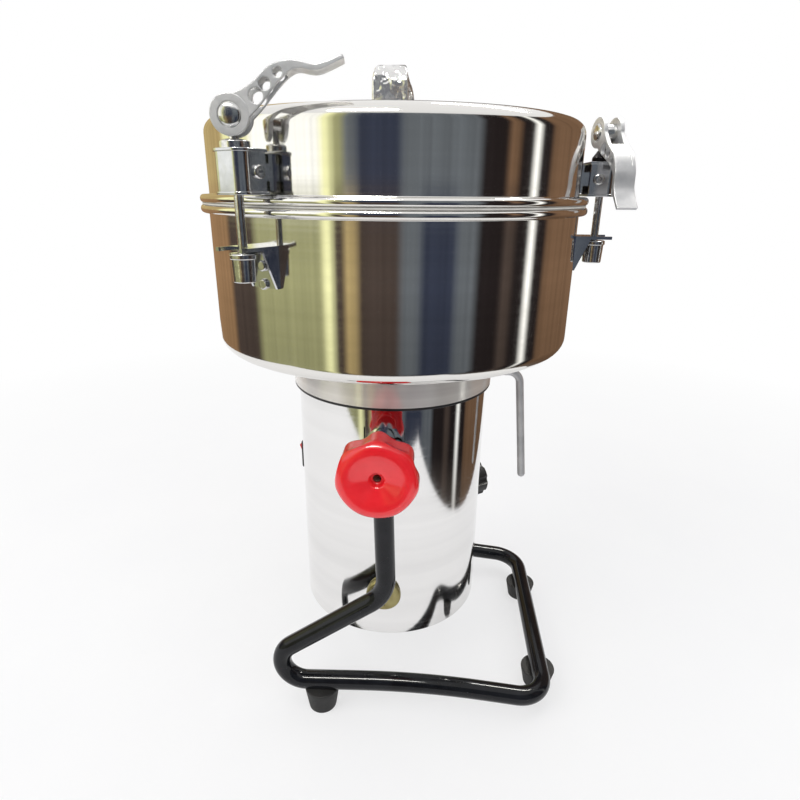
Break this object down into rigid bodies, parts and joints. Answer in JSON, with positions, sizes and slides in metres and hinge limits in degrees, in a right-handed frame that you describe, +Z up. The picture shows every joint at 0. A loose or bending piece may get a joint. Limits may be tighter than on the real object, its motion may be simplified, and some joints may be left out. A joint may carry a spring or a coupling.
{
  "type": "electric spice grinder",
  "caption": "Tilting electric spice grinder with a polished steel bowl, clamped lid and black tube stand.",
  "frame": {"origin": "on the floor under the middle of the object's bounding box", "axes": "+Z up; +Y along the tilt axis towards the far clamp knob; +X towards the stand's crossbar and the side handle"},
  "size_m": [0.2856, 0.2698, 0.45],
  "materials": {
    "polished_steel": "polished",
    "latch_steel": "satin",
    "black_tube": "gloss",
    "red_plastic": "gloss",
    "black_plastic": "matte",
    "black_rubber": "matte",
    "seal_rubber": "matte",
    "cast_aluminium": "machined",
    "core_iron": "matte",
    "copper": "satin",
    "brass": "satin",
    "carbon": "matte"
  },
  "bodies": {
    "stand": {"stand_frame": "black_tube", "stand_feet": "black_rubber", "foot_screws": "latch_steel"},
    "head": {"bowl": "polished_steel", "lid": "polished_steel", "lid_gasket": "seal_rubber", "lid_handle": "polished_steel", "lid_lugs": "latch_steel", "hinge_pins": "latch_steel", "keeper_brackets": "latch_steel", "keeper_rivets": "latch_steel", "motor_housing": "polished_steel", "motor_collar": "cast_aluminium", "tilt_handle": "latch_steel", "bottom_cover": "black_plastic", "case_screws": "latch_steel", "bearings": "latch_steel", "bearing_bracket": "cast_aluminium", "stator_core": "core_iron", "stator_coils": "copper", "stator_bolts": "latch_steel", "brush_holders": "brass", "carbon_brushes": "carbon", "brush_caps": "brass", "shaft_seal": "black_rubber", "pivot_bosses": "latch_steel", "timer_body": "black_plastic", "switch_body": "black_plastic", "overload_protector": "black_plastic", "cable_gland": "black_plastic"},
    "rotor": {"rotor_shaft": "latch_steel", "armature_core": "core_iron", "commutator": "copper", "cooling_fan": "cast_aluminium", "lower_blade": "latch_steel", "upper_blade": "latch_steel", "blade_sleeves": "latch_steel", "blade_nut": "latch_steel"},
    "near_clamp": {"near_knob": "red_plastic", "near_stud": "latch_steel"},
    "far_clamp": {"far_knob": "red_plastic", "far_stud": "latch_steel"},
    "right_latch": {"right_yoke": "latch_steel", "right_cam_seat": "black_plastic", "right_rod": "latch_steel", "right_nut": "latch_steel"},
    "right_cam_lever": {"right_lever": "latch_steel"},
    "back_latch": {"back_yoke": "latch_steel", "back_cam_seat": "black_plastic", "back_rod": "latch_steel", "back_nut": "latch_steel"},
    "back_cam_lever": {"back_lever": "latch_steel"},
    "left_latch": {"left_yoke": "latch_steel", "left_cam_seat": "black_plastic", "left_rod": "latch_steel", "left_nut": "latch_steel"},
    "left_cam_lever": {"left_lever": "latch_steel"},
    "timer": {"timer_knob": "black_plastic"},
    "rocker": {"power_rocker": "red_plastic"},
    "reset": {"reset_button": "red_plastic"}
  },
  "joints": [
    {"name": "head_tilt", "type": "hinge", "parent": "stand", "child": "head", "pos_m": [-0.01275, 0, 0.216], "axis": [0, 1, 0], "range_deg": [-95, 95]},
    {"name": "rotor_spin", "type": "hinge", "parent": "head", "child": "rotor", "pos_m": [-0.01275, 0, 0.216], "axis": [0, 0, 1], "continuous": true},
    {"name": "near_clamp_turn", "type": "hinge", "parent": "head", "child": "near_clamp", "pos_m": [-0.01275, -0.0973, 0.216], "axis": [0, -1, 0], "continuous": true},
    {"name": "far_clamp_turn", "type": "hinge", "parent": "head", "child": "far_clamp", "pos_m": [-0.01275, 0.0973, 0.216], "axis": [0, 1, 0], "continuous": true},
    {"name": "right_latch_swing", "type": "hinge", "parent": "head", "child": "right_latch", "pos_m": [0.12325, 0, 0.3872], "axis": [0, -1, 0], "range_deg": [0, 12]},
    {"name": "right_lever_flip", "type": "hinge", "parent": "right_latch", "child": "right_cam_lever", "pos_m": [0.12775, 0, 0.4157], "axis": [-0.9781, -0.2079, 0], "range_deg": [0, 150]},
    {"name": "back_latch_swing", "type": "hinge", "parent": "head", "child": "back_latch", "pos_m": [-0.08075, 0.11778, 0.3872], "axis": [0.866, 0.5, 0], "range_deg": [0, 6]},
    {"name": "back_lever_flip", "type": "hinge", "parent": "back_latch", "child": "back_cam_lever", "pos_m": [-0.083, 0.12168, 0.4123], "axis": [0, -1, 0], "range_deg": [0, 150]},
    {"name": "left_latch_swing", "type": "hinge", "parent": "head", "child": "left_latch", "pos_m": [-0.08075, -0.11778, 0.3872], "axis": [-0.866, 0.5, 0], "range_deg": [0, 4]},
    {"name": "left_lever_flip", "type": "hinge", "parent": "left_latch", "child": "left_cam_lever", "pos_m": [-0.083, -0.12168, 0.4123], "axis": [0.1392, -0.9903, 0], "range_deg": [0, 150]},
    {"name": "timer_turn", "type": "hinge", "parent": "head", "child": "timer", "pos_m": [0.04623, 0.0413, 0.131], "axis": [0.8192, 0.5736, 0], "range_deg": [0, 270]},
    {"name": "rocker_tip", "type": "hinge", "parent": "head", "child": "rocker", "pos_m": [-0.08356, 0.00371, 0.174], "axis": [0.0523, 0.9986, 0], "range_deg": [0, 16]},
    {"name": "reset_press", "type": "slide", "parent": "head", "child": "reset", "axis": [0.866, -0.5, 0], "range_m": [0, 0.0025], "stiffness_N_per_m": 400}
  ]
}
